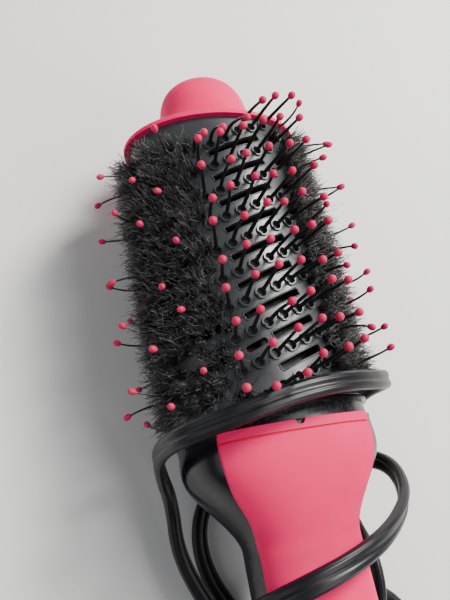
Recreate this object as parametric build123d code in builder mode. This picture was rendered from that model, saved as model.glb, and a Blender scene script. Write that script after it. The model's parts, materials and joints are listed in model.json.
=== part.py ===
from build123d import *
import math
import os

# Hot air brush: an oval vented barrel with ball-tipped pins and bristle tufts, a cool tip,
# and a handle that holds the fan. Millimetres, +Z up (the front panel faces up), +Y to the tip.
# The origin is under the middle of the object, on the surface that its lower pins rest on.

# ---- Driving dimensions ----
AXIS_Z = 41.0                      # height of the long axis above the resting surface
BARREL_A, BARREL_B = 34.2, 22.3    # barrel's half width and half depth
BARREL_WALL = 2.0
BARREL_BOTTOM, BARREL_TOP = 26.0, 138.7
PIN_REACH = AXIS_Z - BARREL_B      # ball tips stand this far off the barrel
SIDE_PIN_REACH = 15.0              # and this far among the bristles
PIN_R, PIN_TIP_R, BALL_R = 0.75, 0.55, 1.4
ROW_PITCH, ROW_LEAN = 11.0, 0.36   # vent rows: spacing, and rise per millimetre to the right
ROW4_Y = 92.0                      # fourth vent row on the centre line
PIN_ROW_DROP = 5.76                # a pin row lies this far below its vent row
PIN_RING_R, PIN_RING_RISE = 2.2, 0.7   # raised ring round the foot of a pin
PIN_WELL_R, PIN_WELL_DEPTH = 1.7, 1.2  # recess that a pin rises from
LOWEST_PIN_Y = BARREL_BOTTOM + PIN_RING_R + 0.1
TOP_ROW_STEP = 1.8                 # the left half of the top pin row sits this much lower
FRONT_PIN_ANGLES = [-0.42, -0.24, -0.06, 0.12, 0.30, 0.48]
SIDE_PIN_ANGLES = [0.72, 1.02, 1.36]
TUFT_ANGLES = [0.64, 0.85, 1.06, 1.27, 1.46]
TUFT_LENGTH, TUFT_BASE_R, TUFT_TOP_R = 9.5, 1.5, 2.0
TUFT_HIGHEST, TUFT_LOWEST = 131.0, BARREL_BOTTOM + 7.0
TUFT_LEFT_DROP = 3.0               # the highest tufts on the left stand this much lower
COLLAR_BOTTOM, COLLAR_TOP = 19.1, 24.0
HANDLE_TOP, HANDLE_END = 18.8, -108.0
HANDLE_WALL = 2.0
PANEL_THICK = 1.5
SEAM_GAP = 0.3                     # clearance between the handle and its turning dial
DIAL_TOP, DIAL_BOTTOM, DIAL_R = -108.3, -118.0, 17.0
HUB_R, HUB_BORE = 12.4, 10.5
GRILLE_TOP, GRILLE_BOTTOM = -118.3, -130.0
SWIVEL_R, SWIVEL_BORE = 6.5, 3.0
RELIEF_TOP, RELIEF_END = -138.0, -170.0
ROTOR_BORE_GAP = 0.05
CORD_D = 6.8                       # width of the flat twin flex
COIL_X, COIL_Y, COIL_R = 14.0, -121.0, 41.0
COIL_LOW, COIL_HIGH = 1.0, 15.0
CORD_LOW_Z, CORD_HIGH_Z = 4.6, 11.4
COIL_LEAD = 26.0                   # straight lead into the coil
PLUG_TOP = -147.0

# Handle's cross sections: station along Y, half width, depth in front, depth behind
HOUSING_STATIONS = [
    (18.8, 34.6, 23.0, 28.0), (12.5, 34.6, 23.0, 28.4), (6.5, 33.5, 22.7, 28.0),
    (0.5, 29.6, 21.4, 26.0), (-5.5, 24.6, 19.3, 23.0), (-11.5, 20.4, 16.7, 19.8),
    (-17.5, 18.7, 15.1, 18.1),
]
GRIP_STATIONS = [
    (-17.5, 18.7, 15.1, 18.1), (-40.0, 18.7, 14.9, 18.0), (-62.0, 18.4, 14.8, 17.6),
    (-85.0, 17.9, 14.8, 17.0), (-108.0, 17.2, 15.0, 16.6),
]
SQUARENESS = 2.5                   # 2 is an ellipse, larger is boxier

# Panel's outline: station along Y and half width, from its top edge down to the handle's end
PANEL_EDGE = [(18.8, 25.9), (6.0, 25.4), (0.0, 23.5), (-6.5, 20.0), (-13.0, 17.6), (-24.0, 16.9),
              (-60.0, 16.8), (-104.0, 14.6)]

# The cord's route from the strain relief to the coil, in order
CORD_ROUTE = [
    (0, -170, 41), (0, -188, 41), (-9, -209, 32), (-28, -219, 21), (-48, -210, 10), (-59, -188, 3.8),
    (-61, -158, 3.8), (-58, -126, 3.8), (-50, -98, 5), (-38, -77, 9), (-27.5, -60, 13),
    (-21.5, -43, 13.5), (-30, -27.5, 14), (-36, -12, 16.5), (-36, 4, 20.5), (-40.5, 13.5, 32),
    (-43.5, 18, 49), (-37.5, 19.5, 65), (-21.5, 21.5, 73.5), (-3, 25.5, 75), (16, 27.5, 71.5),
    (34, 28.5, 61), (47, 31.5, 46), (45, 32, 28), (38.5, 25, 12), (38, 14, 4.6), (36.5, 1, 4.2), (34, -12, 10),
    (35, -29, 20), (31.5, -46, 21), (23, -61, 14), (8, -66, 7), (-6, -56, 5), (-16, -38, 4.6),
    (-25, -22, 6), (-26, -5.5, 7.5), (-17, 8, 6), (0, 9.5, 5.5), (20, 8.5, 7), (38, 9.5, 14),
    (48, 4, 28), (43, -9, 43), (26, -19, 56.5), (7, -24.5, 66), (-12, -28.5, 67), (-26, -33, 55.5),
    (-28.5, -37, 38), (-22, -40.5, 22), (-8, -42, 13), (9, -39, 12.5), (26, -37, 12.5),
    (41, -42.5, 11.5), (50, -57, 8), (54, -71, 5), (55, -83, 4.6), (55, -95, 4.6),
]

os.makedirs("parts", exist_ok=True)


# ---- Shared geometry ----
def across(y):
    """Plane across the long axis: local y is +Z, and a positive extrusion goes towards the handle."""
    return Plane(origin=(0, y, AXIS_Z), x_dir=(1, 0, 0), z_dir=(0, -1, 0))


AXIS_PLANE = Plane.XY.offset(AXIS_Z)
LONG_AXIS = Axis((0, 0, AXIS_Z), (0, 1, 0))


def on_barrel(angle, y, front=True):
    """Location on the barrel's skin whose z axis is the outward normal."""
    side = 1 if front else -1
    x, z = BARREL_A * math.sin(angle), side * BARREL_B * math.cos(angle)
    normal = (BARREL_B * math.sin(angle), 0, side * BARREL_A * math.cos(angle))
    return Plane(origin=(x, y, AXIS_Z + z), x_dir=(0, 1, 0), z_dir=normal).location


def row_y(row, x=0.0):
    """Height along Y of a vent row at a place across the barrel."""
    lean_x = max(-16.0, min(16.0, x))
    return ROW4_Y - ROW_PITCH * (row - 4) + ROW_LEAN * lean_x


def pin_y(row, x):
    """Height along Y of a pin: the lowest row keeps clear of the barrel's end."""
    step = TOP_ROW_STEP if row == 0 and x < -1 else 0.0
    return max(row_y(row, x) - PIN_ROW_DROP - step, LOWEST_PIN_Y)


def pin_spots(front=True):
    """Locations of the ten rows of pins on the vented face."""
    spots = []
    for row in range(0, 10):
        for angle in FRONT_PIN_ANGLES:
            spots.append(on_barrel(angle, pin_y(row, BARREL_A * math.sin(angle)), front))
    return spots


def side_pin_spots(side):
    """Locations of the sparse pins among one side's bristles, staggered from row to row."""
    spots = []
    for row in range(0, 10):
        for index, angle in enumerate(SIDE_PIN_ANGLES):
            if (row + index) % 2:
                continue
            y = pin_y(row, side * BARREL_A * math.sin(angle))
            spots.append(on_barrel(side * angle, y, True))
            spots.append(on_barrel(side * angle, y, False))
    return spots


def tuft_spots(side):
    """Locations of one side's bristle tufts, between the pin rows."""
    spots = []
    for row in range(0 if side < 0 else 1, 10):
        for angle in TUFT_ANGLES:
            y = row_y(row, side * BARREL_A * math.sin(angle)) - (TUFT_LEFT_DROP if row == 0 else 0.0)
            y = min(max(y, TUFT_LOWEST), TUFT_HIGHEST)
            spots.append(on_barrel(side * angle, y, True))
            spots.append(on_barrel(side * angle, y, False))
    return spots


def export(node, label):
    node.part.label = label
    export_step(node.part, f"parts/{label}.step")


# ---- Barrel ----
def vent_sketch():
    """Vent openings of one face in plan: a long leaning slot in each row, and short side vents."""
    lean = math.degrees(math.atan(ROW_LEAN))
    for row in range(1, 10):
        shift = 5.6 if row > 7 else 0.0
        middle = 1.4 + shift
        with Locations((middle, row_y(row, middle))):
            RectangleRounded(23.0 - shift, 2.5, 0.7, rotation=lean)
        if row < 9:
            with Locations((-18.4, row_y(row, -18.4)), (-22.8, row_y(row, -22.8) - 1.2)):
                Rectangle(2.8, 3.0, rotation=lean)
        with Locations((20.6, row_y(row, 20.6))):
            SlotOverall(6.4, 2.2, rotation=lean)
        if row == 8:
            with Locations((-7.4, row_y(row, -7.4))):
                SlotOverall(8.0, 2.4, rotation=lean)


def barrel_half(front):
    """Half of the vented barrel, with a raised ring round the foot of every pin."""
    spots = pin_spots(front)
    with BuildPart() as half:
        with BuildSketch(across(BARREL_TOP)):
            Ellipse(BARREL_A, BARREL_B)
        extrude(amount=BARREL_TOP - BARREL_BOTTOM)
        with Locations(*spots):
            Cylinder(PIN_RING_R, 2 * PIN_RING_RISE)
        with BuildSketch(across(BARREL_TOP + 1)):
            Ellipse(BARREL_A - BARREL_WALL, BARREL_B - BARREL_WALL)
        extrude(amount=BARREL_TOP - BARREL_BOTTOM + 2, mode=Mode.SUBTRACT)
        with BuildSketch(AXIS_PLANE):
            vent_sketch()
        extrude(amount=(1 if front else -1) * (BARREL_B + 5), mode=Mode.SUBTRACT)
        with Locations(*[s * Location((0, 0, -PIN_WELL_DEPTH)) for s in spots]):
            Cylinder(PIN_WELL_R, 3.0, align=(Align.CENTER, Align.CENTER, Align.MIN), mode=Mode.SUBTRACT)
        split(bisect_by=AXIS_PLANE, keep=Keep.TOP if front else Keep.BOTTOM)
    return half


barrel_front_shell = barrel_half(True)
export(barrel_front_shell, "barrel_front_shell")
barrel_rear_shell = barrel_half(False)
export(barrel_rear_shell, "barrel_rear_shell")


def pin_stems(spots, reach, depth):
    """Tapered stems that stand in their wells, or on the barrel's skin where the depth is nothing."""
    with BuildPart() as stems:
        with Locations(*[s * Location((0, 0, 0.02 - depth)) for s in spots]):
            Cone(PIN_R, PIN_TIP_R, reach - 1.9 * BALL_R + depth,
                 align=(Align.CENTER, Align.CENTER, Align.MIN))
    return stems


def pin_balls(spots, reach):
    """Coloured ball tips, each sitting on the flat end of its stem."""
    with BuildPart() as balls:
        with Locations(*[s * Location((0, 0, reach - BALL_R)) for s in spots]):
            Sphere(BALL_R)
        with Locations(*[s * Location((0, 0, reach - 1.9 * BALL_R + 0.02)) for s in spots]):
            Cylinder(BALL_R, 1.0, align=(Align.CENTER, Align.CENTER, Align.MAX), mode=Mode.SUBTRACT)
    return balls


for label, spots, reach, depth in (
    ("front_pins", pin_spots(True), PIN_REACH, PIN_WELL_DEPTH),
    ("rear_pins", pin_spots(False), PIN_REACH, PIN_WELL_DEPTH),
    ("left_side_pins", side_pin_spots(-1), SIDE_PIN_REACH, 0.0),
    ("right_side_pins", side_pin_spots(1), SIDE_PIN_REACH, 0.0),
):
    export(pin_stems(spots, reach, depth), label)
    export(pin_balls(spots, reach), label[:-1] + "_tips")


def bristle_tufts(side):
    """One side's nylon bristle tufts, each a slightly flared bundle."""
    with BuildPart() as tufts:
        with Locations(*tuft_spots(side)):
            Cone(TUFT_BASE_R, TUFT_TOP_R, TUFT_LENGTH, align=(Align.CENTER, Align.CENTER, Align.MIN))
    return tufts


export(bristle_tufts(-1), "left_bristle_tufts")
export(bristle_tufts(1), "right_bristle_tufts")


# ---- Cool tip ----
FLANGE_A, FLANGE_B = BARREL_A + 2.2, BARREL_B + 2.2
CROWN_TOP_Y = 170.0
CROWN_SECTIONS = [                 # station along Y, half width, half depth: slope, waist and dome
    (BARREL_TOP + 1.6, FLANGE_A, FLANGE_B), (BARREL_TOP + 3.6, 31.0, 21.6), (144.2, 23.8, 19.2),
    (147.5, 20.9, 17.8), (154.0, 19.1, 16.6), (161.0, 17.8, 15.4), (165.5, 15.6, 13.6),
    (168.4, 12.2, 10.8), (CROWN_TOP_Y, 8.2, 7.2),
]
with BuildPart() as tip_cap:
    with BuildSketch(across(BARREL_TOP + 1.6)):
        Ellipse(FLANGE_A, FLANGE_B)
    extrude(amount=1.6)
    for y, half_width, half_depth in CROWN_SECTIONS:
        with BuildSketch(across(y)):
            Ellipse(half_width, half_depth)
    loft()
    with BuildSketch(across(BARREL_TOP + 14)):
        Ellipse(14.5, 12.5)
    extrude(amount=14, mode=Mode.SUBTRACT)
export(tip_cap, "tip_cap")

with BuildPart() as barrel_end_plate:
    with BuildSketch(across(BARREL_TOP)):
        Ellipse(BARREL_A - BARREL_WALL, BARREL_B - BARREL_WALL)
    extrude(amount=2.4)
    with BuildSketch(across(BARREL_TOP + 12)):
        Circle(9.0)
        Circle(7.0, mode=Mode.SUBTRACT)
    extrude(amount=12)
    with Locations(across(BARREL_TOP)):
        with Locations((-22, 0), (22, 0)):
            Hole(1.3)
export(barrel_end_plate, "barrel_end_plate")


def screws(places, head_r, head_h, shank_r, length):
    """Pan-head screws: each place is the plane of the head's underside, with z out of the head."""
    with BuildPart() as group:
        with Locations(*[p.location for p in places]):
            Cylinder(head_r, head_h, align=(Align.CENTER, Align.CENTER, Align.MIN))
            Cylinder(shank_r, length, align=(Align.CENTER, Align.CENTER, Align.MAX))
    return group


cap_places = [Plane(origin=(x, BARREL_TOP - 2.4, AXIS_Z), z_dir=(0, -1, 0)) for x in (-22, 22)]
export(screws(cap_places, 2.4, 1.4, 1.3, 2.4), "tip_cap_screws")

# ---- Heater and air duct inside the barrel ----
DUCT_A, DUCT_B = 27.0, 15.5
with BuildPart() as air_duct:
    with BuildSketch(across(104)):
        Ellipse(DUCT_A, DUCT_B)
        Ellipse(DUCT_A - 0.8, DUCT_B - 0.8, mode=Mode.SUBTRACT)
    extrude(amount=74)
export(air_duct, "air_duct")

with BuildPart() as heater_frame:
    with Locations((0, 69, AXIS_Z)):
        Box(44, 54, 0.8)
        Box(0.8, 54, 26)
export(heater_frame, "heater_mica_frame")

with BuildPart() as heating_coils:
    for index in range(8):
        with BuildSketch(across(46 + 6 * index)):
            Ellipse(19.5, 11.5)
            Ellipse(18.5, 10.5, mode=Mode.SUBTRACT)
        extrude(amount=1.0)
    add(heater_frame.part, mode=Mode.SUBTRACT)
export(heating_coils, "heating_coils")

with BuildPart() as thermostat:
    with Locations((8, 100, AXIS_Z)):
        Cylinder(4.0, 5.0, rotation=(90, 0, 0))
    with Locations((8, 100, AXIS_Z + 5)):
        Box(3, 4, 3)
export(thermostat, "thermostat")

with BuildPart() as thermal_fuse:
    with Locations((-9, 98.5, AXIS_Z)):
        Cylinder(1.8, 12, rotation=(0, 90, 0))
        Cylinder(0.4, 22, rotation=(0, 90, 0))
export(thermal_fuse, "thermal_fuse")

# ---- Neck: base ring and collar ----
with BuildPart() as barrel_base_ring:
    with BuildSketch(across(BARREL_BOTTOM)):
        Ellipse(BARREL_A + 1.6, BARREL_B + 1.6)
        Ellipse(DUCT_A + 0.6, DUCT_B + 0.6, mode=Mode.SUBTRACT)
    extrude(amount=BARREL_BOTTOM - COLLAR_TOP)
    fillet(barrel_base_ring.edges().group_by(Axis.Y)[-1].sort_by(SortBy.LENGTH)[-1], 0.8)
export(barrel_base_ring, "barrel_base_ring")

with BuildPart() as collar:
    for y, half_width, half_depth in ((COLLAR_TOP, 34.3, 22.9), (COLLAR_BOTTOM, 34.6, 23.2)):
        with BuildSketch(across(y)):
            Ellipse(half_width, half_depth)
    loft()
    with BuildSketch(across(COLLAR_TOP + 1)):
        Ellipse(DUCT_A + 0.6, DUCT_B + 0.6)
    extrude(amount=COLLAR_TOP - COLLAR_BOTTOM + 2, mode=Mode.SUBTRACT)
export(collar, "collar")


# ---- Handle ----
def section_points(half_width, front, rear):
    """Eight points round one cross section of the handle, from its right side."""
    corner = 0.5 ** (1 / SQUARENESS)
    return [(half_width, 0), (half_width * corner, front * corner), (0, front),
            (-half_width * corner, front * corner), (-half_width, 0),
            (-half_width * corner, -rear * corner), (0, -rear), (half_width * corner, -rear * corner)]


def handle_body(grow):
    """The handle's solid outer form, grown or shrunk by an even amount."""
    with BuildPart() as body:
        for stations in (HOUSING_STATIONS, GRIP_STATIONS):
            for y, half_width, front, rear in stations:
                with BuildSketch(across(y)):
                    with BuildLine():
                        Spline(*section_points(half_width + grow, front + grow, rear + grow),
                               periodic=True)
                    make_face()
            loft()
    return body.part


OUTER = handle_body(0)
INNER = handle_body(-HANDLE_WALL)
SEAM_Z = 2.0                       # the shells part a little above the axis
seam_plane = Plane.XY.offset(AXIS_Z + SEAM_Z)


SCREW_SPOTS = [(-27, 8), (27, 8), (0, -50), (0, -98)]
SCREW_SEAT_Z = AXIS_Z - 12


def handle_shell(keep):
    with BuildPart() as shell:
        add(OUTER)
        add(INNER, mode=Mode.SUBTRACT)
        split(bisect_by=seam_plane, keep=keep)
    return shell


handle_front_shell = handle_shell(Keep.TOP)
export(handle_front_shell, "handle_front_shell")

with BuildPart(mode=Mode.PRIVATE) as screw_bosses:
    with BuildSketch(Plane.XY.offset(SCREW_SEAT_Z + 3)):
        with Locations(*SCREW_SPOTS):
            Circle(3.6)
    extrude(amount=-30)
    add(OUTER, mode=Mode.INTERSECT)
with BuildPart() as handle_rear_shell:
    add(handle_shell(Keep.BOTTOM).part)
    add(screw_bosses.part)
    with BuildSketch(Plane.XY.offset(SCREW_SEAT_Z)):
        with Locations(*SCREW_SPOTS):
            Circle(2.7)
    extrude(amount=-30, mode=Mode.SUBTRACT)
    with BuildSketch(Plane.XY.offset(SCREW_SEAT_Z)):
        with Locations(*SCREW_SPOTS):
            Circle(1.3)
    extrude(amount=5, mode=Mode.SUBTRACT)
export(handle_rear_shell, "handle_rear_shell")

with BuildPart() as front_panel:
    with BuildSketch(seam_plane):
        with BuildLine():
            left_edge = Spline(*[(-x, y) for y, x in PANEL_EDGE])
            right_edge = Spline(*[(x, y) for y, x in PANEL_EDGE])
            Line(left_edge @ 0, right_edge @ 0)
            Line(left_edge @ 1, right_edge @ 1)
        make_face()
    extrude(amount=30)
    add(handle_body(PANEL_THICK), mode=Mode.INTERSECT)
    add(OUTER, mode=Mode.SUBTRACT)
    with Locations((0, HANDLE_TOP, AXIS_Z + 25)):
        Cylinder(1.6, 8, mode=Mode.SUBTRACT)
    with BuildPart(mode=Mode.PRIVATE) as groove:
        with Locations((0, HANDLE_TOP - 3.2, AXIS_Z + 20)):
            Box(80, 0.7, 40)
        add(handle_body(PANEL_THICK - 0.8), mode=Mode.SUBTRACT)
    add(groove.part, mode=Mode.SUBTRACT)
export(front_panel, "front_panel")

screw_places = [Plane(origin=(x, y, SCREW_SEAT_Z), z_dir=(0, 0, -1)) for x, y in SCREW_SPOTS]
export(screws(screw_places, 2.6, 1.6, 1.3, 9.0), "handle_screws")

# ---- Fan and motor ----
FAN_Y, MOTOR_Y = 12.0, -8.0
MOTOR_R, MOTOR_LENGTH = 12.0, 30.0
SHAFT_R = 1.15
with BuildPart() as motor:
    with BuildSketch(across(MOTOR_Y)):
        Circle(MOTOR_R)
    extrude(amount=MOTOR_LENGTH)
    with BuildSketch(across(MOTOR_Y + 1.5)):
        Circle(4.0)
    extrude(amount=1.5)
    with BuildSketch(across(MOTOR_Y + 2)):
        Circle(SHAFT_R + ROTOR_BORE_GAP)
    extrude(amount=MOTOR_LENGTH + 4, mode=Mode.SUBTRACT)
    fillet(motor.edges().group_by(Axis.Y)[0].sort_by(SortBy.LENGTH)[-1], 1.5)
export(motor, "motor")

with BuildPart() as motor_shaft:
    with BuildSketch(across(FAN_Y)):
        Circle(SHAFT_R)
    extrude(amount=FAN_Y - MOTOR_Y + MOTOR_LENGTH + 1)
export(motor_shaft, "motor_shaft")

with BuildPart() as fan_impeller:
    with BuildSketch(across(FAN_Y)):
        Circle(4.5)
    extrude(amount=12)
    with BuildSketch(across(FAN_Y - 10)):
        Circle(17.0)
    extrude(amount=1.4)
    with Locations(across(FAN_Y - 5)):
        with PolarLocations(10.0, 9):
            Box(13.0, 1.0, 10.2, rotation=(0, 0, 25))
    with BuildSketch(across(FAN_Y + 1)):
        Circle(SHAFT_R)
    extrude(amount=14, mode=Mode.SUBTRACT)
export(fan_impeller, "fan_impeller")

with BuildPart() as fan_housing:
    with BuildSketch(across(FAN_Y + 1)):
        Circle(18.8)
        Circle(17.6, mode=Mode.SUBTRACT)
    extrude(amount=12.5)
export(fan_housing, "fan_housing")

with BuildPart() as motor_mount:
    with BuildSketch(across(MOTOR_Y - 2)):
        Circle(MOTOR_R + 1.2)
        Circle(MOTOR_R, mode=Mode.SUBTRACT)
    extrude(amount=4)
export(motor_mount, "motor_mount_ring")

# ---- Switch, board and leads ----
with BuildPart() as selector_switch:
    with Locations((0, -88, AXIS_Z)):
        Box(16, 14, 12)
    with Locations((0, -97, AXIS_Z)):
        Cylinder(3.0, 4.0, rotation=(90, 0, 0))
    fillet(selector_switch.edges().filter_by(Axis.Y).group_by(SortBy.LENGTH)[-1], 1.0)
export(selector_switch, "selector_switch")

with BuildPart() as circuit_board:
    with Locations((0, -62, AXIS_Z + 4)):
        Box(22, 30, 1.6)
    with Locations((-5, -56, AXIS_Z + 6.3), (5, -56, AXIS_Z + 6.3)):
        Box(6, 8, 3.0)
    with Locations((0, -69, AXIS_Z + 6.8)):
        Cylinder(3.5, 4.0)
export(circuit_board, "circuit_board")

with BuildPart() as power_leads:
    for x in (-4.0, 4.0):
        with BuildSketch(across(-39.5)):
            with Locations((x, -8.0)):
                Circle(0.9)
        extrude(amount=40)
export(power_leads, "power_leads")

# ---- Handle's end: dial, air inlet and swivel ----
with BuildPart() as dial_hub:
    with BuildSketch(across(HANDLE_END + 4)):
        Circle(HUB_R)
        Circle(HUB_BORE, mode=Mode.SUBTRACT)
    extrude(amount=HANDLE_END + 4 - GRILLE_TOP)
    with BuildSketch(across(HANDLE_END + 4)):
        Circle(HUB_R + 0.2)
        Circle(HUB_BORE, mode=Mode.SUBTRACT)
    extrude(amount=3)
export(dial_hub, "dial_hub")

with BuildPart() as control_dial:
    with BuildSketch(across(DIAL_TOP)):
        Circle(DIAL_R)
        with PolarLocations(DIAL_R, 36):
            Circle(0.6)
        Circle(HUB_R + SEAM_GAP, mode=Mode.SUBTRACT)
    extrude(amount=DIAL_TOP - DIAL_BOTTOM)
    with Locations((0, (DIAL_TOP + DIAL_BOTTOM) / 2, AXIS_Z + DIAL_R + 0.6)):
        Box(1.6, 7.0, 1.2)
export(control_dial, "control_dial")

with BuildPart() as inlet_grille:
    for y, radius in ((GRILLE_TOP, 16.8), (GRILLE_BOTTOM, 12.0)):
        with BuildSketch(across(y)):
            Circle(radius)
    loft()
    with BuildSketch(across(GRILLE_TOP + 1)):
        Circle(10.4)
    extrude(amount=GRILLE_TOP - GRILLE_BOTTOM - 1.5, mode=Mode.SUBTRACT)
    with BuildSketch(across(GRILLE_TOP - 2.5)):
        with PolarLocations(12.5, 20):
            Rectangle(9.0, 1.8)
    extrude(amount=6.5, mode=Mode.SUBTRACT)
    with BuildSketch(across(GRILLE_BOTTOM + 4)):
        Circle(SWIVEL_BORE + 1.3)
    extrude(amount=8, mode=Mode.SUBTRACT)
export(inlet_grille, "inlet_grille")

with BuildPart() as inlet_filter:
    with BuildSketch(across(GRILLE_TOP - 0.5)):
        Circle(10.2)
        with GridLocations(3.0, 3.0, 5, 5):
            Circle(1.0, mode=Mode.SUBTRACT)
    extrude(amount=0.6)
export(inlet_filter, "inlet_filter")

with BuildPart() as cord_swivel:
    with BuildSketch(across(GRILLE_BOTTOM - SEAM_GAP)):
        Circle(SWIVEL_R)
    extrude(amount=GRILLE_BOTTOM - SEAM_GAP - RELIEF_TOP)
    fillet(cord_swivel.edges().group_by(Axis.Y)[0], 1.5)
    with BuildSketch(across(GRILLE_BOTTOM + 5)):
        Circle(SWIVEL_BORE + 1.0)
    extrude(amount=6)
export(cord_swivel, "cord_swivel")

RELIEF_TOP_R, RELIEF_END_R = 5.0, 3.6
with BuildPart() as strain_relief:
    with BuildSketch(Plane.XY.offset(AXIS_Z)):
        with BuildLine():
            Polyline((0, RELIEF_TOP), (RELIEF_TOP_R, RELIEF_TOP), (RELIEF_END_R, RELIEF_END),
                     (0, RELIEF_END), close=True)
        make_face()
    revolve(axis=LONG_AXIS)
    with Locations((0, -146, AXIS_Z), (0, -152, AXIS_Z), (0, -158, AXIS_Z), (0, -164, AXIS_Z)):
        Box(12, 2.0, 5.6, mode=Mode.SUBTRACT)
    with BuildSketch(across(RELIEF_TOP)):
        Circle(3.3)
    extrude(amount=RELIEF_TOP - RELIEF_END)
export(strain_relief, "strain_relief")


# ---- Cord, coil, tie and plug ----
def corner_radii(route):
    """Radius of the arc at each inner point, from its shorter run and half its turn."""
    points = [Vector(*p) for p in route]
    radii = []
    for before, here, after in zip(points, points[1:], points[2:]):
        shorter = min((here - before).length, (after - here).length)
        turn = math.radians((here - before).get_angle(after - here))
        radii.append(0.45 * shorter / math.tan(turn / 2))
    return radii


CORD_RADII = corner_radii(CORD_ROUTE)
with BuildPart() as cord_tube:
    with BuildLine() as cord_path:
        FilletPolyline(*CORD_ROUTE, radius=CORD_RADII)
    with BuildSketch(Plane(origin=cord_path.line @ 0, z_dir=cord_path.line % 0)):
        Circle(CORD_D / 2)
    sweep()
export(cord_tube, "cord_tube")
tube_length = cord_path.wire().length
print("cord radii", [round(r, 1) for r in CORD_RADII])
print("tube length", round(tube_length, 1), "volume ratio",
      round(cord_tube.part.volume / (tube_length * math.pi * CORD_D ** 2 / 4), 4))

COIL_INNER, COIL_OUTER = COIL_R - 14.4, COIL_R + CORD_D / 2 + 0.6
with BuildPart() as cord_coil:
    with BuildSketch(Plane.XY.offset(COIL_LOW)):
        with Locations((COIL_X, COIL_Y)):
            Circle(COIL_OUTER)
            Circle(COIL_INNER, mode=Mode.SUBTRACT)
    extrude(amount=COIL_HIGH - COIL_LOW)
    fillet(cord_coil.edges().group_by(Axis.Z)[0] + cord_coil.edges().group_by(Axis.Z)[-1], 2.0)
    lead_in = Plane(origin=(COIL_X + COIL_R, COIL_Y + COIL_LEAD, CORD_LOW_Z), z_dir=(0, -1, 0))
    with BuildSketch(lead_in):
        Circle(CORD_D / 2)
    extrude(amount=COIL_LEAD)
    with BuildSketch(Plane(origin=(COIL_X + COIL_R, COIL_Y, CORD_HIGH_Z), z_dir=(0, -1, 0))):
        Circle(CORD_D / 2)
    extrude(amount=COIL_Y - PLUG_TOP)
export(cord_coil, "cord_coil")

TIE_GAP, TIE_THICK, TIE_WIDTH = 0.6, 0.7, 8.0
tie_plane = Plane(origin=(COIL_X, COIL_Y + TIE_WIDTH / 2, 0), x_dir=(1, 0, 0), z_dir=(0, -1, 0))
with BuildPart() as coil_tie:
    with BuildSketch(tie_plane):
        with Locations((-(COIL_INNER + COIL_OUTER) / 2, (COIL_LOW + COIL_HIGH) / 2)):
            Rectangle(COIL_OUTER - COIL_INNER + 2 * (TIE_GAP + TIE_THICK),
                      COIL_HIGH - COIL_LOW + 2 * TIE_THICK)
            Rectangle(COIL_OUTER - COIL_INNER + 2 * TIE_GAP, COIL_HIGH - COIL_LOW, mode=Mode.SUBTRACT)
    extrude(amount=TIE_WIDTH)
export(coil_tie, "coil_tie")

PLUG_X, PLUG_Z = COIL_X + COIL_R, CORD_HIGH_Z
PLUG_BODY_TOP, PLUG_BODY_END = -169.0, -205.0
PLUG_PIN_R, PLUG_PIN_LENGTH, PLUG_PIN_PITCH = 2.4, 19.0, 19.0


def plug_plane(y):
    return Plane(origin=(PLUG_X, y, PLUG_Z), x_dir=(1, 0, 0), z_dir=(0, -1, 0))


with BuildPart() as plug_body:
    for y, half_width, half_depth in ((PLUG_TOP, 3.6, 3.6), (PLUG_BODY_TOP, 6.0, 5.0),
                                      (PLUG_BODY_TOP - 9, 14.0, 7.6), (PLUG_BODY_TOP - 16, 17.5, 8.4)):
        with BuildSketch(plug_plane(y)):
            Ellipse(half_width, half_depth)
    loft()
    with BuildSketch(plug_plane(PLUG_BODY_TOP - 16)):
        Ellipse(17.5, 8.4)
    extrude(amount=PLUG_BODY_TOP - 16 - PLUG_BODY_END)
export(plug_body, "plug_body")

with BuildPart() as plug_pins:
    with BuildSketch(plug_plane(PLUG_BODY_END)):
        with Locations((-PLUG_PIN_PITCH / 2, 0), (PLUG_PIN_PITCH / 2, 0)):
            Circle(PLUG_PIN_R)
    extrude(amount=PLUG_PIN_LENGTH)
    chamfer(plug_pins.edges().group_by(Axis.Y)[0], 0.6)
export(plug_pins, "plug_pins")
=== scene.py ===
"""Looks of the hot air brush: cord, pins, bristles and moulded plastics around the CAD frame."""
import json
import math
import random
from collections import namedtuple

import bmesh
import bpy
from mathutils import Matrix, Vector


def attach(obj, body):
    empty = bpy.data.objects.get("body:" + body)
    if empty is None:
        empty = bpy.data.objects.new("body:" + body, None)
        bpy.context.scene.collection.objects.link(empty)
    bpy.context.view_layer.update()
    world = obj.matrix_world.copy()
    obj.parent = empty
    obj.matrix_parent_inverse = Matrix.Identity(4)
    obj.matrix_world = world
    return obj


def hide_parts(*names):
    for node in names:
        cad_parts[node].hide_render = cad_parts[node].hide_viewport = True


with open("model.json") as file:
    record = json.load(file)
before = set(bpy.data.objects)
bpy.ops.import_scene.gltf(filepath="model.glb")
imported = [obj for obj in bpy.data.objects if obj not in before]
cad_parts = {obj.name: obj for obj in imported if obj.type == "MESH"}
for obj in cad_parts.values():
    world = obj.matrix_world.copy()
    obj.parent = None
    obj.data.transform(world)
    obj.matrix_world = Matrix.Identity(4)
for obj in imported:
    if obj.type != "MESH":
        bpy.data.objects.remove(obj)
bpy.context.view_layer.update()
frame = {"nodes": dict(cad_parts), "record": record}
NODES = frame["nodes"]
MM = 0.001
FULL_TURN = 2 * math.pi
AXIS_Z = 41.0 * MM                          # height of the brush's long axis
BARREL_A, BARREL_B = 34.2 * MM, 22.3 * MM   # half width and half depth of the oval barrel
NEARLY_ALONG = Vector((0, 1, 0.01))         # nearly along the brush, and never along a pin

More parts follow.
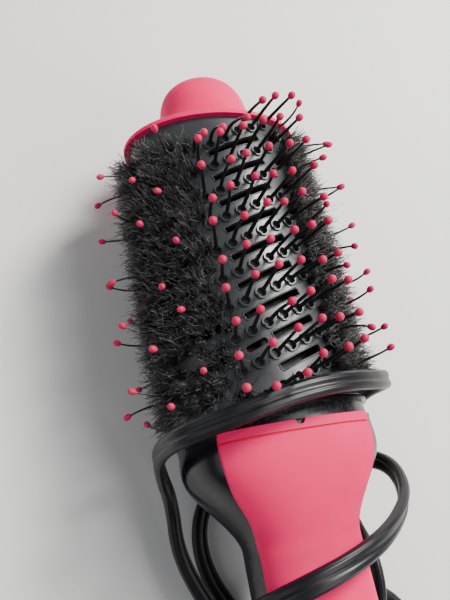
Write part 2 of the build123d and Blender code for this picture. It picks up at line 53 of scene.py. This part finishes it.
# ---- Camera ----
CAMERA_PLACE = Vector((-0.0774, -0.0108, 0.2433))
CAMERA_AIM = Vector((0.304, 0.357, -0.883))
CAMERA_UP = Vector((0.085, 0.913, 0.399))
CAMERA_LENS, CAMERA_SENSOR = 36.5, 36.0
CAMERA_NEAR = 0.01


def add_camera():
    """The camera, which looks down at the brush from its left."""
    data = bpy.data.cameras.new("camera")
    data.sensor_width = CAMERA_SENSOR
    data.lens = CAMERA_LENS
    data.clip_start = CAMERA_NEAR
    camera = link("camera", data)
    back = -CAMERA_AIM.normalized()
    right = CAMERA_UP.cross(back).normalized()
    turn = Matrix((right, back.cross(right), back)).transposed().to_4x4()
    camera.matrix_world = Matrix.Translation(CAMERA_PLACE) @ turn
    bpy.context.scene.camera = camera


# ---- Small helpers ----
def link(name, data):
    """Makes an object of some data and adds it to the scene."""
    obj = bpy.data.objects.new(name, data)
    bpy.context.scene.collection.objects.link(obj)
    return obj


def mesh_object(name, points, faces, smooth=True):
    """Makes a mesh object of points and faces."""
    mesh = bpy.data.meshes.new(name)
    mesh.from_pydata([tuple(p) for p in points], [], faces)
    mesh.update()
    mesh.polygons.foreach_set("use_smooth", [smooth] * len(mesh.polygons))
    return link(name, mesh)


def dress(obj, slot):
    """Gives a new piece the material of a record slot; every new piece rides on the root body."""
    obj.data.materials.clear()
    obj.data.materials.append(MATERIALS[slot])
    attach(obj, "root")


def limited(value, low, high):
    """A value kept between two limits."""
    return max(low, min(high, value))


def circle(centre, across, other, radius, sides):
    """Points of a circle round a centre, in the plane of two directions square to each other."""
    angles = [FULL_TURN * corner / sides for corner in range(sides)]
    return [centre + (across * math.cos(angle) + other * math.sin(angle)) * radius
            for angle in angles]


def ring(centre, heading, radius, sides):
    """Points of a circle round a centre, square to a heading."""
    across = heading.cross(NEARLY_ALONG).normalized()
    return circle(centre, across, heading.cross(across), radius, sides)


def skin(faces, first, rings, sides, closed=False):
    """Joins rings of points, from point first on, into a rod with flat ends or a closed loop."""
    for step in range(rings if closed else rings - 1):
        low, high = first + step * sides, first + (step + 1) % rings * sides
        for corner in range(sides):
            after = (corner + 1) % sides
            faces.append((low + corner, low + after, high + after, high + corner))
    if not closed:
        faces.append(tuple(first + corner for corner in reversed(range(sides))))
        faces.append(tuple(high + corner for corner in range(sides)))


def barrel_surface(sine, cosine, y):
    """A point on the oval barrel and its outward normal, by the angle's sine and cosine."""
    place = Vector((BARREL_A * sine, y, AXIS_Z + BARREL_B * cosine))
    return place, Vector((BARREL_B * sine, 0, BARREL_A * cosine)).normalized()


# ---- Materials ----
# Noise patches: scale, detail, and the two levels of the noise that they fade in between
BROAD_PATCHES = (28.0, 3.0, 0.35, 0.7)
GRIT, GRIT_ROUGH = (900.0, 4.0, 0.55, 0.70), 0.7
GRIT_PATCHES = (46.0, 2.0, 0.60, 0.72)
SPECKS = (1500.0, 2.0, 0.70, 0.78)
SMUDGES = (45.0, 5.0, 0.4, 0.72)
SMUDGE_DUST = (1300.0, 2.0, 0.66, 0.76)
EDGE_BREAKS = (900.0, 4.0, 0.42, 0.62)
EDGE_LEVELS = (0.53, 0.62)          # pointiness from a flat surface to a worn edge
POWDER = (0.80, 0.22, 0.32)         # pale dust on the pink plastic
DUST_SHARE, SPECK_SHARE = 0.30, 0.16
PINK_SHINE, PINK_GRAIN, PINK_UNEVEN = 0.15, 0.00004, 0.14
WORN_SHARE, SMUDGE_SHARE, BLACK_UNEVEN = 0.25, 0.3, 0.16
WORN_LIGHTER = 0.10                 # how much lighter worn black plastic is
STREAK_STRETCH = (14.0, 1.0, 14.0)  # draws noise out along the brush
BRUSHED_STRETCH, BRUSHED_GRAIN = (1, 8, 1), 0.00003


class Shade:
    """A Principled material with the few node chains that the surfaces here share."""

    def __init__(self, name, color, roughness, **sockets):
        self.material = bpy.data.materials.new(name)
        self.material.use_nodes = True
        self.nodes = self.material.node_tree.nodes
        self.links = self.material.node_tree.links
        self.bsdf = self.nodes["Principled BSDF"]
        self.bsdf.inputs["Base Color"].default_value = (*color, 1)
        self.bsdf.inputs["Roughness"].default_value = roughness
        for key, value in sockets.items():
            self.bsdf.inputs[key.replace("_", " ")].default_value = value
        self.place = self.nodes.new("ShaderNodeTexCoord").outputs["Object"]

    def noise(self, scale, detail=4.0, rough=0.55, stretch=(1, 1, 1)):
        mapping = self.nodes.new("ShaderNodeMapping")
        mapping.inputs["Scale"].default_value = stretch
        self.links.new(self.place, mapping.inputs["Vector"])
        texture = self.nodes.new("ShaderNodeTexNoise")
        texture.inputs["Scale"].default_value = scale
        texture.inputs["Detail"].default_value = detail
        texture.inputs["Roughness"].default_value = rough
        self.links.new(mapping.outputs["Vector"], texture.inputs["Vector"])
        return texture.outputs["Fac"]

    def ramp(self, source, low, high, low_value=0.0, high_value=1.0):
        """A smooth step from low_value to high_value as the source goes from low to high."""
        step = self.nodes.new("ShaderNodeMapRange")
        step.interpolation_type = "SMOOTHSTEP"
        for key, value in zip(("From Min", "From Max", "To Min", "To Max"),
                              (low, high, low_value, high_value)):
            step.inputs[key].default_value = value
        self.links.new(source, step.inputs["Value"])
        return step.outputs["Result"]

    def patches(self, scale, detail, low, high, rough=0.55):
        """A mask of noise patches, which fade in between two levels of the noise."""
        return self.ramp(self.noise(scale, detail, rough), low, high)

    def math(self, operation, first, second):
        node = self.nodes.new("ShaderNodeMath")
        node.operation = operation
        for socket, value in zip(node.inputs, (first, second)):
            if isinstance(value, (int, float)):
                socket.default_value = value
            else:
                self.links.new(value, socket)
        return node.outputs["Value"]

    def mix(self, factor, first, second):
        """Mixes two colours by a factor; each colour is a tuple or a socket."""
        node = self.nodes.new("ShaderNodeMix")
        node.data_type = "RGBA"
        self.links.new(factor, node.inputs["Factor"])
        for socket, value in ((node.inputs["A"], first), (node.inputs["B"], second)):
            if isinstance(value, tuple):
                socket.default_value = (*value, 1)
            else:
                self.links.new(value, socket)
        return node.outputs["Result"]

    def color(self, socket):
        self.links.new(socket, self.bsdf.inputs["Base Color"])

    def uneven_gloss(self, scale, detail, high, least, most):
        """Roughness that wanders between two values in patches."""
        wander = self.ramp(self.noise(scale, detail), 0.3, high, least, most)
        self.links.new(wander, self.bsdf.inputs["Roughness"])

    def bump(self, height, distance, strength):
        node = self.nodes.new("ShaderNodeBump")
        node.inputs["Strength"].default_value = strength
        node.inputs["Distance"].default_value = distance
        self.links.new(height, node.inputs["Height"])
        self.links.new(node.outputs["Normal"], self.bsdf.inputs["Normal"])

    def edge_wear(self):
        """Mask of convex edges, broken up by noise."""
        pointiness = self.nodes.new("ShaderNodeNewGeometry").outputs["Pointiness"]
        edges = self.ramp(pointiness, *EDGE_LEVELS)
        return self.math("MULTIPLY", edges, self.patches(*EDGE_BREAKS))


def pink_plastic(name, base, dull, gloss):
    """Pink moulded plastic with fine dust: gloss is its roughness, dull darkens broad patches."""
    shade = Shade(name, base, gloss, Specular_IOR_Level=PINK_SHINE)
    shaded = shade.mix(shade.patches(*BROAD_PATCHES), tuple(c * dull for c in base), base)
    dust = shade.math("MULTIPLY", shade.patches(*GRIT, GRIT_ROUGH), shade.patches(*GRIT_PATCHES))
    powder = shade.math("MAXIMUM", shade.math("MULTIPLY", dust, DUST_SHARE),
                        shade.math("MULTIPLY", shade.patches(*SPECKS), SPECK_SHARE))
    shade.color(shade.mix(powder, shaded, POWDER))
    shade.uneven_gloss(60.0, 5.0, 0.75, gloss, gloss + PINK_UNEVEN)
    shade.bump(shade.noise(2600.0, 2.0), PINK_GRAIN, 0.5)
    return shade.material


def black_plastic(name, base, gloss, grain, streaks=0.0, shine=0.5):
    """Moulded plastic: gloss is its roughness, and grain the depth of its texture in metres."""
    shade = Shade(name, base, gloss, Specular_IOR_Level=shine)
    dust = shade.math("MULTIPLY", shade.patches(*SMUDGE_DUST), shade.patches(*SMUDGES))
    worn = shade.math("MAXIMUM", shade.math("MULTIPLY", shade.edge_wear(), WORN_SHARE),
                      shade.math("MULTIPLY", dust, SMUDGE_SHARE))
    shade.color(shade.mix(worn, base, tuple(WORN_LIGHTER + c for c in base)))
    shade.uneven_gloss(70.0, 6.0, 0.75, gloss, gloss + BLACK_UNEVEN)
    height = shade.noise(1700.0, 3.0)
    if streaks:
        lines = shade.noise(90.0, 3.0, 0.6, STREAK_STRETCH)
        height = shade.math("ADD", height, shade.math("MULTIPLY", lines, streaks))
    shade.bump(height, grain, 0.6)
    return shade.material


def metal(name, base, roughness):
    """Plain metal with faint drawn lines."""
    shade = Shade(name, base, roughness, Metallic=1.0)
    shade.uneven_gloss(300.0, 4.0, 0.7, roughness * 0.8, roughness * 1.5)
    shade.bump(shade.noise(500.0, 3.0, stretch=BRUSHED_STRETCH), BRUSHED_GRAIN, 0.4)
    return shade.material


def toned(name, dark, light, roughness):
    """Material whose tone follows each strand's own value, kept on the mesh; the value also holds
    painted shade towards each bristle's root.
    """
    shade = Shade(name, dark, roughness)
    tone = shade.nodes.new("ShaderNodeAttribute")
    tone.attribute_name = "tone"
    shade.color(shade.mix(tone.outputs["Fac"], dark, light))
    return shade.material


def make_materials():
    """The materials, by the record's material slot that each one dresses."""
    recipes = (
        (pink_plastic, "pink_plastic", (0.90, 0.012, 0.128), 0.88, 0.55),
        (pink_plastic, "pink_tip", (0.60, 0.022, 0.095), 0.85, 0.30),
        (black_plastic, "barrel_plastic", (0.030, 0.034, 0.037), 0.25, 0.00003, 0.7, 0.55),
        (black_plastic, "gloss_black", (0.005, 0.005, 0.008), 0.20, 0.00001, 0.0, 0.4),
        (black_plastic, "matte_black", (0.007, 0.007, 0.009), 0.34, 0.00006, 0.0, 0.3),
        (black_plastic, "pin_nylon", (0.006, 0.006, 0.006), 0.28, 0.00001),
        (black_plastic, "cord_rubber", (0.006, 0.006, 0.008), 0.30, 0.00002, 0.0, 0.35),
        (black_plastic, "mica", (0.55, 0.48, 0.36), 0.5, 0.00005),
        (black_plastic, "board", (0.03, 0.16, 0.07), 0.4, 0.00003),
        (metal, "steel", (0.55, 0.55, 0.56), 0.3),
        (metal, "pin_metal", (0.72, 0.70, 0.64), 0.22),
        (toned, "bristle", (0.005, 0.005, 0.006), (0.27, 0.255, 0.25), 0.5),
    )
    return {name: maker(name, *values) for maker, name, *values in recipes}


MATERIALS = make_materials()


def paint_nodes():
    """Gives every carried-over CAD node the better material of its own record slot."""
    for part in frame["record"]["subparts"]:
        material = MATERIALS.get(part["material_slot"])
        if material is not None:
            slots = NODES[part["node"]].data.materials
            slots.clear()
            slots.append(material)


# ---- Cord ----
CORD_WIDTH, CORD_THICK = 6.8 * MM, 3.7 * MM
CORD_ROUTE_MM = (
    # From the swivel along the left of the handle, up to the barrel's foot and over the neck
    (0, -170, 41), (0, -188, 41), (-9, -209, 32), (-28, -219, 21), (-48, -210, 10),
    (-59, -188, 3.8), (-61, -158, 3.8), (-58, -126, 3.8), (-50, -98, 5), (-38, -77, 9),
    (-27.5, -60, 13), (-21.5, -43, 13.5), (-30, -27.5, 14), (-36, -12, 16.5), (-36, 4, 20.5),
    (-40.5, 13.5, 32), (-43.5, 18, 49), (-37.5, 19.5, 65), (-21.5, 21.5, 73.5), (-3, 25.5, 75),
    (16, 27.5, 71.5), (34, 28.5, 61), (47, 31.5, 46), (45, 32, 28), (38.5, 25, 12),
    # Down on the right and back under the handle, then up its left side
    (38, 14, 4.6), (36.5, 1, 4.2), (34, -12, 10), (35, -29, 20), (31.5, -46, 21), (23, -61, 14),
    (8, -66, 7), (-6, -56, 5), (-16, -38, 4.6), (-25, -22, 6), (-26, -5.5, 7.5), (-17, 8, 6),
    # Under the neck to the right, and the second turn over the grip
    (0, 9.5, 5.5), (20, 8.5, 7), (38, 9.5, 14), (48, 4, 28), (43, -9, 43), (26, -19, 56.5),
    (7, -24.5, 66), (-12, -28.5, 67), (-26, -33, 55.5), (-28.5, -37, 38), (-22, -40.5, 22),
    # Under the grip and out to the coil
    (-8, -42, 13), (9, -39, 12.5), (26, -37, 12.5), (41, -42.5, 11.5), (50, -57, 8),
    (54, -71, 5), (55, -83, 4.6), (55, -95, 4.6),
)
# The put-away coil, in millimetres, like the route
COIL_X, COIL_Y, COIL_R = 14.0, -121.0, 41.0
COIL_TURNS, POINTS_PER_TURN, TURN_PITCH = 3, 16, 7.0
LAYER_LOW, LAYER_HIGH = 4.6, 11.4
CLIMB_BEFORE, CLIMB_TURN = 0.1, 0.25        # the climb between the layers, in turns
PLUG_TOP_Y = -147.0
LINE_STEPS, CORE_STEPS = 12, 30
GROOVE_SHARE = 0.62                         # how far in the cores' outlines go to the groove
RIDGES, RIDGE_HEIGHT = 10, 0.035
# How the flex turns its broad side, in metres
COIL_TOP, COIL_EDGE = 0.016, (COIL_R + 4) * MM
HANDLE_FROM, HANDLE_FADE = -0.090, 0.030    # from here up it faces away from the handle
NEAR_AXIS = 0.005
LYING_WEIGHT = 0.9
TWIST_KEPT, TWIST_NEW = 0.86, 0.14
LEAST_SIDE = 0.05


def coil_points():
    """Points of the put-away turns: half inwards on the low layer, then half outwards on top."""
    points = []
    for step in range(COIL_TURNS * POINTS_PER_TURN + 1):
        turn = step / POINTS_PER_TURN
        radius = COIL_R - TURN_PITCH * min(turn, COIL_TURNS - turn)
        rise = limited((turn - COIL_TURNS / 2 + CLIMB_BEFORE) / CLIMB_TURN, 0.0, 1.0)
        angle = -FULL_TURN * turn
        points.append((COIL_X + radius * math.cos(angle), COIL_Y + radius * math.sin(angle),
                       LAYER_LOW + (LAYER_HIGH - LAYER_LOW) * rise))
    return points


def cord_centreline():
    """Points of the cord's NURBS line, whose control points are the route and the coil."""
    route = [*CORD_ROUTE_MM, *coil_points(), (COIL_X + COIL_R, PLUG_TOP_Y, LAYER_HIGH)]
    curve = bpy.data.curves.new("cord_line", "CURVE")
    curve.dimensions = "3D"
    curve.resolution_u = LINE_STEPS
    spline = curve.splines.new("NURBS")
    spline.points.add(len(route) - 1)
    for point, place in zip(spline.points, route):
        point.co = (*(value * MM for value in place), 1)
    spline.order_u = 3
    spline.use_endpoint_u = True
    line = link("cord_line", curve)
    bpy.context.view_layer.update()
    points = [vertex.co.copy() for vertex in bpy.data.meshes.new_from_object(line).vertices]
    bpy.data.objects.remove(line)
    return points


def flex_profile():
    """Outline of the flat twin flex: two finely ridged round cores with a groove between them."""
    core = CORD_THICK / 2
    offset = CORD_WIDTH / 2 - core
    reach = math.acos(-offset * GROOVE_SHARE / core)
    outline = []
    for side in (1, -1):
        for step in range(CORE_STEPS + 1):
            angle = reach * (2 * step / CORE_STEPS - 1)
            radius = core * (1.0 + RIDGE_HEIGHT * math.cos(angle * RIDGES))
            outline.append((side * (offset + radius * math.cos(angle)),
                            side * radius * math.sin(angle)))
    return outline


def broad_side(point):
    """The way the flex's broad side faces: away from the handle, outwards in the coil, else up."""
    from_coil = Vector((point.x - COIL_X * MM, point.y - COIL_Y * MM, 0))
    if point.z < COIL_TOP and from_coil.length < COIL_EDGE:
        return from_coil.normalized()
    from_axis = Vector((point.x, 0, point.z - AXIS_Z))
    on_handle = 0.0
    if from_axis.length > NEAR_AXIS:
        on_handle = limited((point.y - HANDLE_FROM) / HANDLE_FADE, 0.0, 1.0)
    return from_axis.normalized() * on_handle + Vector((0, 0, LYING_WEIGHT)) * (1 - on_handle)


def sweep_flat(name, line, profile):
    """Sweeps a flat profile along a line; its twist follows the broad side slowly."""
    last = len(line) - 1
    points, faces, up = [], [], None
    for index, point in enumerate(line):
        ahead = (line[min(last, index + 1)] - line[max(0, index - 1)]).normalized()
        wanted = broad_side(point)
        wanted -= ahead * wanted.dot(ahead)
        if up is None:
            up = wanted
        if wanted.length > LEAST_SIDE:
            up = up * TWIST_KEPT + wanted.normalized() * TWIST_NEW
        up = (up - ahead * up.dot(ahead)).normalized()
        side = ahead.cross(up)
        points += [point + side * across + up * out for across, out in profile]
    skin(faces, 0, len(line), len(profile))
    return mesh_object(name, points, faces)


def build_cord():
    """The mains cord, which stands for the CAD's tube and coil."""
    line = cord_centreline()
    cord = sweep_flat("mains_cord", line, flex_profile())
    dress(cord, "cord_rubber")
    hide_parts("cord_tube", "cord_coil")


# ---- Pins ----
BALL_R = 1.4 * MM
PIN_REACH = AXIS_Z - BARREL_B
SIDE_PIN_REACH = 15.0 * MM
PIN_FOOT_R, PIN_NECK_R, PIN_TAPER = 0.80 * MM, 0.50 * MM, 0.7
KNEE_SHARE = 0.55                       # how far up a pin bends
STEM_SIDES, STEM_RINGS = 10, 8
BALL_SIDES, BALL_RINGS = 18, 13
BALL_STRETCH = 1.28                     # the dipped tip runs down its stem a little
BALL_START, BALL_END = 1.25, 0.12       # in neck radii, and in radians short of its pole
TOP_ROW_Y = 121.0 * MM
SWEEP_X, SWEEP_Y = 3.2 * MM, -5.6 * MM
SWEEP_FROM, SWEEP_FADE = 10 * MM, 14 * MM
WELD = 1e-6

# lean is how far the balls usually stray, and most how far they may; reach is the pins' height
PinSet = namedtuple("PinSet", "node tip_node lean most seed reach girth")
PIN_SETS = (
    PinSet("front_pins", "front_pin_tips", 0.9 * MM, 2.2 * MM, 3, PIN_REACH, 1.0),
    PinSet("rear_pins", "rear_pin_tips", 0.4 * MM, 0.9 * MM, 4, PIN_REACH, 1.0),
    PinSet("left_side_pins", "left_side_pin_tips", 2.6 * MM, 5.5 * MM, 5, SIDE_PIN_REACH, 0.6),
    PinSet("right_side_pins", "right_side_pin_tips", 2.6 * MM, 5.5 * MM, 6, SIDE_PIN_REACH, 0.7),
)


def islands(obj):
    """Vertex positions of each separate solid of a CAD node."""
    mesh = bmesh.new()
    mesh.from_mesh(obj.data)
    bmesh.ops.remove_doubles(mesh, verts=mesh.verts, dist=WELD)
    found, seen = [], set()
    for start in mesh.verts:
        if start in seen:
            continue
        group, stack = [], [start]
        seen.add(start)
        while stack:
            vert = stack.pop()
            group.append(vert.co.copy())
            for edge in vert.link_edges:
                other = edge.other_vert(vert)
                if other not in seen:
                    seen.add(other)
                    stack.append(other)
        found.append(group)
    mesh.free()
    return found


def pin_axis(group):
    """Foot and direction of one pin, from the two end circles of its CAD stem."""
    def out(point):
        return math.hypot(point.x / BARREL_A, (point.z - AXIS_Z) / BARREL_B)
    middle = (min(out(p) for p in group) + max(out(p) for p in group)) / 2
    feet = [p for p in group if out(p) < middle]
    ends = [p for p in group if out(p) >= middle]
    foot = sum(feet, Vector()) / len(feet)
    return foot, (sum(ends, Vector()) / len(ends) - foot).normalized()


def swept_down(foot):
    """How far a top-row pin has been pushed over: fully on the left, not at all on the right."""
    if foot.y < TOP_ROW_Y or foot.z < AXIS_Z:
        return 0.0
    return limited((SWEEP_FROM - foot.x) / SWEEP_FADE, 0.0, 1.0)


def add_stem(points, faces, foot, knee, ball, girth):
    """A tapered stem that bends from its foot by its knee to its ball."""
    first = len(points)
    for step in range(STEM_RINGS):
        share = step / (STEM_RINGS - 1)
        centre = foot * (1 - share) ** 2 + knee * (2 * share * (1 - share)) + ball * share ** 2
        heading = ((knee - foot) * (1 - share) + (ball - knee) * share).normalized()
        radius = (PIN_FOOT_R + (PIN_NECK_R - PIN_FOOT_R) * share ** PIN_TAPER) * girth
        points += ring(centre, heading, radius, STEM_SIDES)
    skin(faces, first, STEM_RINGS, STEM_SIDES)


def add_ball(points, faces, knee, ball, girth):
    """A dipped ball tip, drawn out a little towards its stem."""
    first = len(points)
    heading = (ball - knee).normalized()
    start = math.asin(PIN_NECK_R * BALL_START / BALL_R)
    for step in range(BALL_RINGS):
        turn = start + (math.pi - start - BALL_END) * step / (BALL_RINGS - 1)
        stretch = BALL_STRETCH if turn < math.pi / 2 else 1.0
        points += ring(ball - heading * BALL_R * math.cos(turn) * stretch, heading,
                       BALL_R * math.sin(turn) * (0.5 + girth / 2), BALL_SIDES)
    skin(faces, first, BALL_RINGS, BALL_SIDES)


def build_pins(pins):
    """Nylon pins that lean and bend a little, each in its own way, with dipped ball tips."""
    rand = random.Random(pins.seed)
    stems, stem_faces, balls, ball_faces = [], [], [], []
    reach = pins.reach - BALL_R
    axes = [pin_axis(group) for group in islands(NODES[pins.node])]
    for foot, normal in sorted(axes, key=lambda axis: tuple(axis[0])):
        round_way = normal.cross(Vector((0, 1, 0)))
        along = limited(rand.gauss(0, pins.lean), -pins.most, pins.most)
        sideways = limited(rand.gauss(0, pins.lean), -pins.most, pins.most)
        swept = swept_down(foot) if pins.reach == PIN_REACH else 0.0
        pushed = Vector((SWEEP_X * swept, along + SWEEP_Y * swept, 0))
        aim = normal * reach + pushed + round_way * sideways
        ball, knee = foot + aim.normalized() * reach, foot + normal * reach * KNEE_SHARE
        ball.z = max(ball.z, BALL_R)
        add_stem(stems, stem_faces, foot, knee, ball, pins.girth)
        add_ball(balls, ball_faces, knee, ball, pins.girth)
    for name, points, faces, slot, old in (
            (pins.node + "_bent", stems, stem_faces, "pin_nylon", pins.node),
            (pins.tip_node + "_balls", balls, ball_faces, "pink_tip", pins.tip_node)):
        piece = mesh_object(name, points, faces)
        dress(piece, slot)
        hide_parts(old)


# ---- Moulded lips round the barrel's slots, with their plan in millimetres ----
ROW4_Y, ROW_PITCH, ROW_LEAN = 92.0, 11.0, 0.36
SLOT_ROWS = range(1, 10)
SLOT_MIDDLE, SLOT_LENGTH, SLOT_WIDTH = 1.4, 23.0, 2.5
LAST_FULL_ROW, SHORTER_BY = 7, 5.6
SLOT_CORNER, SLOT_EDGE, OUTLINE_STEP = 0.7, 0.2, 1.5
CORNERS = ((1, 1, 0), (-1, 1, 90), (-1, -1, 180), (1, -1, 270))
LIP_R, LIP_SIDES = 0.30 * MM, 6


def slot_outline(middle, length):
    """Outline of a leaning rounded slot in plan, from the centre of its row."""
    half = length / 2 + SLOT_EDGE - SLOT_CORNER
    high = SLOT_WIDTH / 2 + SLOT_EDGE - SLOT_CORNER
    outline = []
    for sx, sy, start in CORNERS:
        for turn in range(0, 91, 30):
            angle = math.radians(start + turn)
            outline.append((sx * half + SLOT_CORNER * math.cos(angle),
                            sy * high + SLOT_CORNER * math.sin(angle)))
    full = []
    for (x0, y0), (x1, y1) in zip(outline, outline[1:] + outline[:1]):
        count = max(1, int(math.hypot(x1 - x0, y1 - y0) / OUTLINE_STEP))
        full += [(x0 + (x1 - x0) * step / count, y0 + (y1 - y0) * step / count)
                 for step in range(count)]
    slope = math.atan(ROW_LEAN)
    return [(middle + x * math.cos(slope) - y * math.sin(slope),
             middle * ROW_LEAN + x * math.sin(slope) + y * math.cos(slope)) for x, y in full]


def build_slot_lips(name, face):
    """Thin raised lips round the long slots of one face: 1 for the front, -1 for the rear."""
    points, faces = [], []
    for row in SLOT_ROWS:
        shift = SHORTER_BY if row > LAST_FULL_ROW else 0.0
        centres = []
        for x, y in slot_outline(SLOT_MIDDLE + shift, SLOT_LENGTH - shift):
            sine = x * MM / BARREL_A
            centres.append(barrel_surface(sine, face * math.sqrt(1 - sine * sine),
                                          (ROW4_Y - ROW_PITCH * (row - 4) + y) * MM))
        first, count = len(points), len(centres)
        for index, (centre, normal) in enumerate(centres):
            ahead = (centres[(index + 1) % count][0] - centres[index - 1][0]).normalized()
            across = ahead.cross(normal).normalized()
            points += circle(centre, across, normal, LIP_R, LIP_SIDES)
        skin(faces, first, count, LIP_SIDES, closed=True)
    dress(mesh_object(name, points, faces), "barrel_plastic")


# ---- Bristles ----
TUFT_ROWS, TUFT_COLUMNS = 19, 11
TUFT_TURN, TUFT_SHIFT, TUFT_LEAN = 0.03, 0.8 * MM, 0.15
BRISTLES_PER_TUFT = 56
BRISTLE_ROOT, BRISTLE_TIP = 0.15 * MM, 0.09 * MM
BRISTLE_STEPS, BRISTLE_SIDES = 4, 3
ROOT_SPREAD, ROOT_SUNK = 0.50, 0.4      # millimetres
FAN_OUT = 0.19
BEND, CRIMP, CRIMP_WAVE = 1.2, 0.42, 2.2
WILD_SHARE, WILD = 0.10, 2.2            # a few bristles stand out and bend more
TALL, LENGTHS = (0.82, 1.08), (0.60, 1.03)
LIVELY, TONE_POWER = (0.5, 1.0), 2.2    # most bristles are dark, and a few are light
PAINTED_ROOT_SHADE = 0.10                        # painted shade: the tone at a bristle's root, as a share of its tip's
SPLAY_HEIGHT = 14 * MM                  # the lowest tufts lean down over the collar

# first_angle is where the tufts start from the front; the tops are near the faces and on the side
Bank = namedtuple("Bank", "side first_angle length low near_top far_top splay")
LEFT_BANK = Bank(-1, 0.50, 9.4 * MM, 31.0 * MM, 125.0 * MM, 129.5 * MM, 0.55)
RIGHT_BANK = Bank(1, 0.62, 8.6 * MM, 36.0 * MM, 131.0 * MM, 134.0 * MM, 0.15)


def scatter(rand):
    """A random direction and length."""
    return Vector((rand.gauss(0, 1), rand.gauss(0, 1), rand.gauss(0, 1)))


def strand(points, faces, tones_with_root_shade, root, direction, bend, crimp, length, tone):
    """One thin three-sided tapered bristle that bends and crimps as it rises; its tone is darkened
    towards the root as painted shade.
    """
    first = len(points)
    side = direction.orthogonal().normalized()
    other = direction.cross(side)
    for step in range(BRISTLE_STEPS + 1):
        along = step / BRISTLE_STEPS
        wave = crimp * math.sin(math.pi * CRIMP_WAVE * along)
        centre = root + direction * (length * along) + bend * (along * along) + wave
        radius = BRISTLE_ROOT + (BRISTLE_TIP - BRISTLE_ROOT) * along
        points += circle(centre, side, other, radius, BRISTLE_SIDES)
        # painted shade: each bristle's tone fades from its tip down to a dark root
        tones_with_root_shade += [tone * (PAINTED_ROOT_SHADE + (1 - PAINTED_ROOT_SHADE) * along)] * BRISTLE_SIDES
    skin(faces, first, BRISTLE_STEPS + 1, BRISTLE_SIDES)


def build_bristles(bank, name, node, seed):
    """One side's bank of staggered tufts, each a sheaf of crimped bristles of many lengths."""
    rand = random.Random(seed)
    points, faces, tones_with_root_shade = [], [], []
    sector = math.pi - 2 * bank.first_angle
    for row in range(TUFT_ROWS):
        for column in range(TUFT_COLUMNS):
            share = (column + (0.5 if row % 2 else 0.0)) / (TUFT_COLUMNS - 0.5)
            angle = bank.first_angle + sector * share + rand.uniform(-TUFT_TURN, TUFT_TURN)
            top = bank.near_top + (bank.far_top - bank.near_top) * math.sin(math.pi * share)
            y = bank.low + (top - bank.low) * row / (TUFT_ROWS - 1)
            y += rand.uniform(-TUFT_SHIFT, TUFT_SHIFT)
            place, normal = barrel_surface(bank.side * math.sin(angle), math.cos(angle), y)
            splay = bank.splay * max(0.0, 1 - (y - bank.low) / SPLAY_HEIGHT)
            lean = scatter(rand) * TUFT_LEAN + Vector((0, -splay, 0))
            lively, tall = rand.uniform(*LIVELY), rand.uniform(*TALL)
            for _ in range(BRISTLES_PER_TUFT):
                spread = scatter(rand)
                spread -= normal * spread.dot(normal)
                wild = WILD if rand.random() < WILD_SHARE else 1.0
                root = place + spread * ROOT_SPREAD * MM - normal * ROOT_SUNK * MM
                direction = (normal + lean + spread * FAN_OUT * wild).normalized()
                bend, crimp = scatter(rand) * BEND * MM * wild, scatter(rand) * CRIMP * MM
                strand(points, faces, tones_with_root_shade, root, direction, bend, crimp,
                       bank.length * tall * rand.uniform(*LENGTHS),
                       lively * rand.random() ** TONE_POWER)
    brush = mesh_object(name, points, faces)
    layer = brush.data.attributes.new("tone", "FLOAT", "POINT")
    layer.data.foreach_set("value", tones_with_root_shade)
    dress(brush, "bristle")
    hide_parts(node)


# ---- Stage ----
FLOOR_HALF = 3.0
FLOOR_COLOR = (0.80, 0.79, 0.78)
WORLD_COLOR, WORLD_STRENGTH = (0.95, 0.97, 1.0, 1), 0.22
MIDDLE = (0, 0.05, 0.04)
# Each light: name, place, aim, width and height, power and colour
LIGHTS = (
    ("key", (0.55, 0.46, 0.74), MIDDLE, (0.30, 0.30), 18.0, (1.0, 0.98, 0.95)),
    ("front", (0.45, -0.45, 0.70), MIDDLE, (0.5, 0.5), 5.0, (1.0, 0.99, 0.97)),
    ("strip", (0.39, 0.16, 0.97), (0, 0.02, 0.06), (0.07, 0.30), 2.5, (1.0, 1.0, 1.0)),
    ("fill", (-0.70, 0.00, 0.60), MIDDLE, (0.7, 0.7), 2.0, (0.95, 0.97, 1.0)),
)


def add_light(name, place, aim, size, power, color):
    """An oblong area light that points at its aim."""
    data = bpy.data.lights.new(name, "AREA")
    data.energy = power
    data.color = color
    data.shape = "RECTANGLE"
    data.size, data.size_y = size
    light = link(name, data)
    light.location = place
    light.rotation_euler = (Vector(aim) - Vector(place)).to_track_quat("-Z", "Y").to_euler()


def add_stage():
    """A plain pale floor, a soft grey world and the studio lights."""
    corners = [(x * FLOOR_HALF, y * FLOOR_HALF, 0) for x, y in ((-1, -1), (1, -1), (1, 1), (-1, 1))]
    floor = mesh_object("floor", corners, [(0, 1, 2, 3)], smooth=False)
    shade = Shade("floor", FLOOR_COLOR, 0.75)
    shade.uneven_gloss(6.0, 4.0, 0.7, 0.7, 0.85)
    floor.data.materials.append(shade.material)
    world = bpy.data.worlds.new("world")
    world.use_nodes = True
    background = world.node_tree.nodes["Background"].inputs
    background["Color"].default_value = WORLD_COLOR
    background["Strength"].default_value = WORLD_STRENGTH
    bpy.context.scene.world = world
    for light in LIGHTS:
        add_light(*light)


add_camera()
build_cord()
paint_nodes()
for pin_set in PIN_SETS:
    build_pins(pin_set)
build_slot_lips("front_slot_lips", 1)
build_slot_lips("rear_slot_lips", -1)
build_bristles(LEFT_BANK, "left_bristles", "left_bristle_tufts", 11)
build_bristles(RIGHT_BANK, "right_bristles", "right_bristle_tufts", 12)
add_stage()
